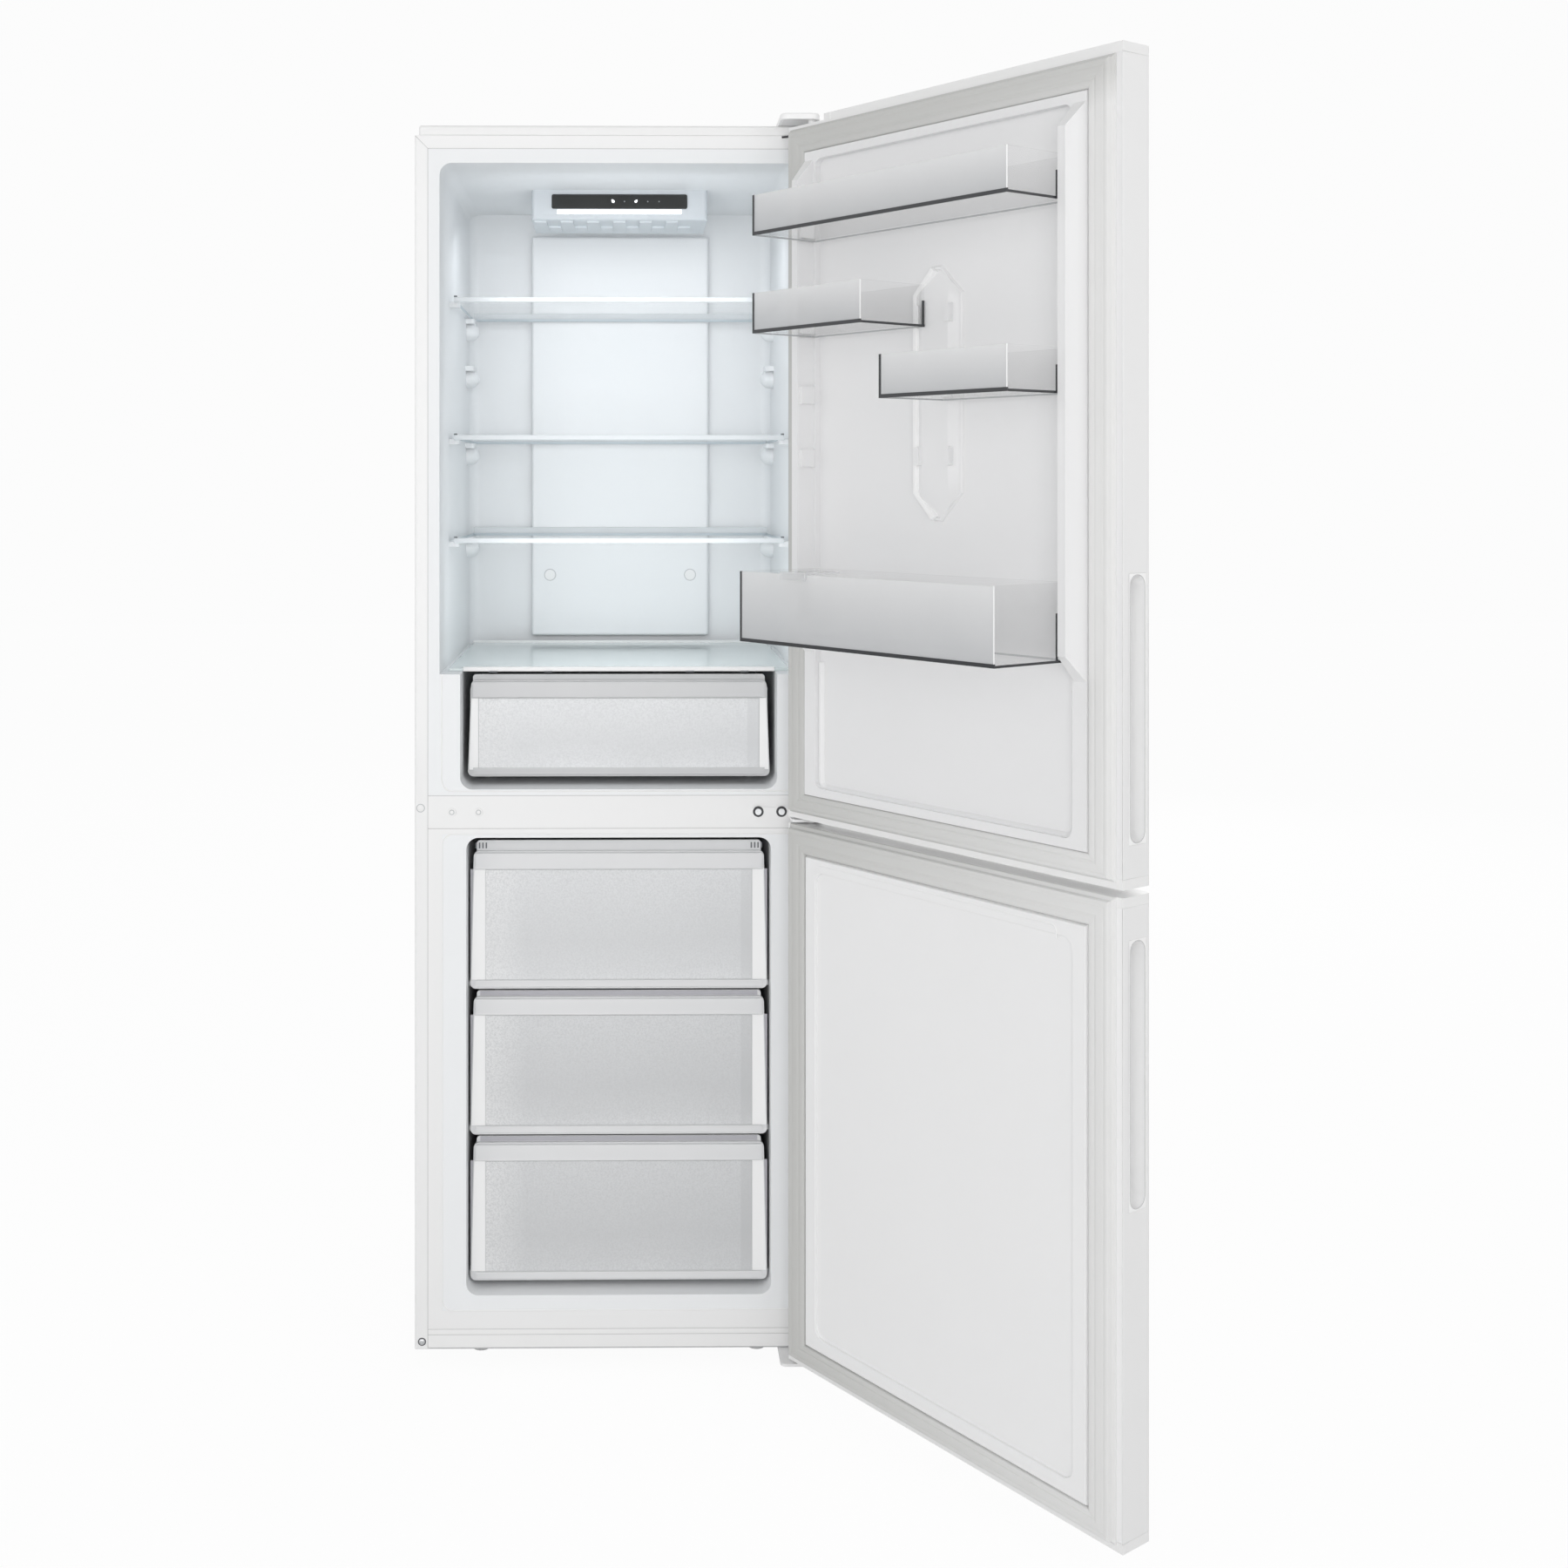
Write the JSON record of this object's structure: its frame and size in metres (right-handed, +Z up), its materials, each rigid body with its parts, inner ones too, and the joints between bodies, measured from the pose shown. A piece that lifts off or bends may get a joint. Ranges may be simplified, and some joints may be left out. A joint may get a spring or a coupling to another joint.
{
  "type": "fridge freezer",
  "caption": "Free-standing fridge freezer with both right-hinged doors open, glass shelves, clear drawers and lift-off door balconies.",
  "frame": {"origin": "on the floor under the front left levelling foot", "axes": "+X to the viewer's right, +Y to the back, +Z up; the front faces -Y"},
  "size_m": [0.9316, 1.1385, 1.819],
  "materials": {
    "white_steel": "satin white paint",
    "white_plastic": "white moulded",
    "zinc_steel": "zinc plated",
    "foam": "rigid foam",
    "liner_plastic": "white vacuum-formed",
    "dark_gloss": "black gloss",
    "lamp_lens": "lit diffuser",
    "aluminium_fin": "mill finish",
    "motor_plastic": "moulded",
    "black_enamel": "black enamel",
    "grommet_rubber": "soft rubber",
    "foot_plastic": "moulded",
    "clear_glass": "toughened float glass",
    "clear_drawer": "frosted clear plastic",
    "smoke_clear": "smoke tinted clear plastic",
    "seal_grey": "soft grey seal"
  },
  "bodies": {
    "cabinet": {"outer_wrap": "white_steel", "top_cap": "white_plastic", "rear_panel": "zinc_steel", "base_pan": "zinc_steel", "insulation": "foam", "fridge_liner": "liner_plastic", "freezer_liner": "liner_plastic", "front_frame": "white_steel", "base_rail": "white_plastic", "control_housing": "white_plastic", "display_fascia": "dark_gloss", "led_lens": "lamp_lens", "duct_panel": "liner_plastic", "hole_plugs": "white_plastic", "evaporator_cover": "liner_plastic", "evaporator": "aluminium_fin", "fan_motor": "motor_plastic", "compressor": "black_enamel", "compressor_grommets": "grommet_rubber", "bay_cover": "motor_plastic", "top_hinge": "zinc_steel", "hinge_cover": "white_plastic", "mid_hinge": "white_steel", "bottom_hinge": "zinc_steel", "hinge_screws": "zinc_steel", "roller_brackets": "zinc_steel", "crisper_cover_glass": "clear_glass", "crisper_cover_trim": "white_plastic"},
    "upper_door": {"upper_door_skin": "white_steel", "upper_door_caps": "white_plastic", "upper_door_foam": "foam", "upper_door_grip": "white_plastic", "upper_door_liner": "liner_plastic", "upper_door_gasket": "seal_grey"},
    "lower_door": {"lower_door_skin": "white_steel", "lower_door_caps": "white_plastic", "lower_door_foam": "foam", "lower_door_grip": "white_plastic", "lower_door_liner": "liner_plastic", "lower_door_gasket": "seal_grey"},
    "shelf_1": {"glass_shelf_1": "clear_glass", "shelf_trim_1": "white_plastic"},
    "shelf_2": {"glass_shelf_2": "clear_glass", "shelf_trim_2": "white_plastic"},
    "shelf_3": {"glass_shelf_3": "clear_glass", "shelf_trim_3": "white_plastic"},
    "crisper": {"crisper_drawer": "clear_drawer"},
    "freezer_tray_1": {"freezer_drawer_1": "clear_drawer"},
    "freezer_tray_2": {"freezer_drawer_2": "clear_drawer"},
    "freezer_tray_3": {"freezer_drawer_3": "clear_drawer"},
    "bin_top": {"balcony_top": "smoke_clear"},
    "bin_left": {"balcony_left": "smoke_clear"},
    "bin_right": {"balcony_right": "smoke_clear"},
    "bin_bottle": {"balcony_bottle": "smoke_clear"},
    "clip": {"bottle_clip": "clear_drawer"},
    "left_foot": {"foot_left": "foot_plastic"},
    "right_foot": {"foot_right": "foot_plastic"},
    "left_roller": {"roller_left": "foot_plastic"},
    "right_roller": {"roller_right": "foot_plastic"},
    "fan": {"fan_blade": "motor_plastic"}
  },
  "joints": [
    {"name": "upper_door_swing", "type": "hinge", "parent": "cabinet", "child": "upper_door", "pos_m": [0.4825, -0.098, 1.308], "axis": [0, 0, 1], "range_deg": [-126, 9]},
    {"name": "lower_door_swing", "type": "hinge", "parent": "cabinet", "child": "lower_door", "pos_m": [0.4825, -0.098, 0.413], "axis": [0, 0, 1], "range_deg": [-126, 9]},
    {"name": "shelf_1_slide", "type": "slide", "parent": "cabinet", "child": "shelf_1", "axis": [0, -1, 0], "range_m": [0, 0.14]},
    {"name": "shelf_2_slide", "type": "slide", "parent": "cabinet", "child": "shelf_2", "axis": [0, -1, 0], "range_m": [0, 0.14]},
    {"name": "shelf_3_slide", "type": "slide", "parent": "cabinet", "child": "shelf_3", "axis": [0, -1, 0], "range_m": [0, 0.14]},
    {"name": "crisper_slide", "type": "slide", "parent": "cabinet", "child": "crisper", "axis": [0, -1, 0], "range_m": [0, 0.3]},
    {"name": "freezer_tray_1_slide", "type": "slide", "parent": "cabinet", "child": "freezer_tray_1", "axis": [0, -1, 0], "range_m": [0, 0.3]},
    {"name": "freezer_tray_2_slide", "type": "slide", "parent": "cabinet", "child": "freezer_tray_2", "axis": [0, -1, 0], "range_m": [0, 0.3]},
    {"name": "freezer_tray_3_slide", "type": "slide", "parent": "cabinet", "child": "freezer_tray_3", "axis": [0, -1, 0], "range_m": [0, 0.2]},
    {"name": "bin_top_lift", "type": "slide", "parent": "upper_door", "child": "bin_top", "axis": [0, 0, 1], "range_m": [0, 0.03]},
    {"name": "bin_left_lift", "type": "slide", "parent": "upper_door", "child": "bin_left", "axis": [0, 0, 1], "range_m": [0, 0.03]},
    {"name": "bin_right_lift", "type": "slide", "parent": "upper_door", "child": "bin_right", "axis": [0, 0, 1], "range_m": [0, 0.03]},
    {"name": "bin_bottle_lift", "type": "slide", "parent": "upper_door", "child": "bin_bottle", "axis": [0, 0, 1], "range_m": [0, 0.03]},
    {"name": "clip_slide", "type": "slide", "parent": "bin_bottle", "child": "clip", "axis": [0.5878, -0.809, 0], "range_m": [-0.06, 0.3]},
    {"name": "left_foot_turn", "type": "hinge", "parent": "cabinet", "child": "left_foot", "pos_m": [0, 0, 0], "axis": [0, 0, 1], "range_deg": [-720, 720]},
    {"name": "right_foot_turn", "type": "hinge", "parent": "cabinet", "child": "right_foot", "pos_m": [0.41, 0, 0], "axis": [0, 0, 1], "range_deg": [-720, 720]},
    {"name": "left_roller_spin", "type": "hinge", "parent": "cabinet", "child": "left_roller", "pos_m": [-0.045, 0.48, 0.0115], "axis": [1, 0, 0], "continuous": true},
    {"name": "right_roller_spin", "type": "hinge", "parent": "cabinet", "child": "right_roller", "pos_m": [0.455, 0.48, 0.0115], "axis": [1, 0, 0], "continuous": true},
    {"name": "fan_spin", "type": "hinge", "parent": "cabinet", "child": "fan", "pos_m": [0.205, 0.411, 0.69], "axis": [0, 1, 0], "continuous": true}
  ]
}
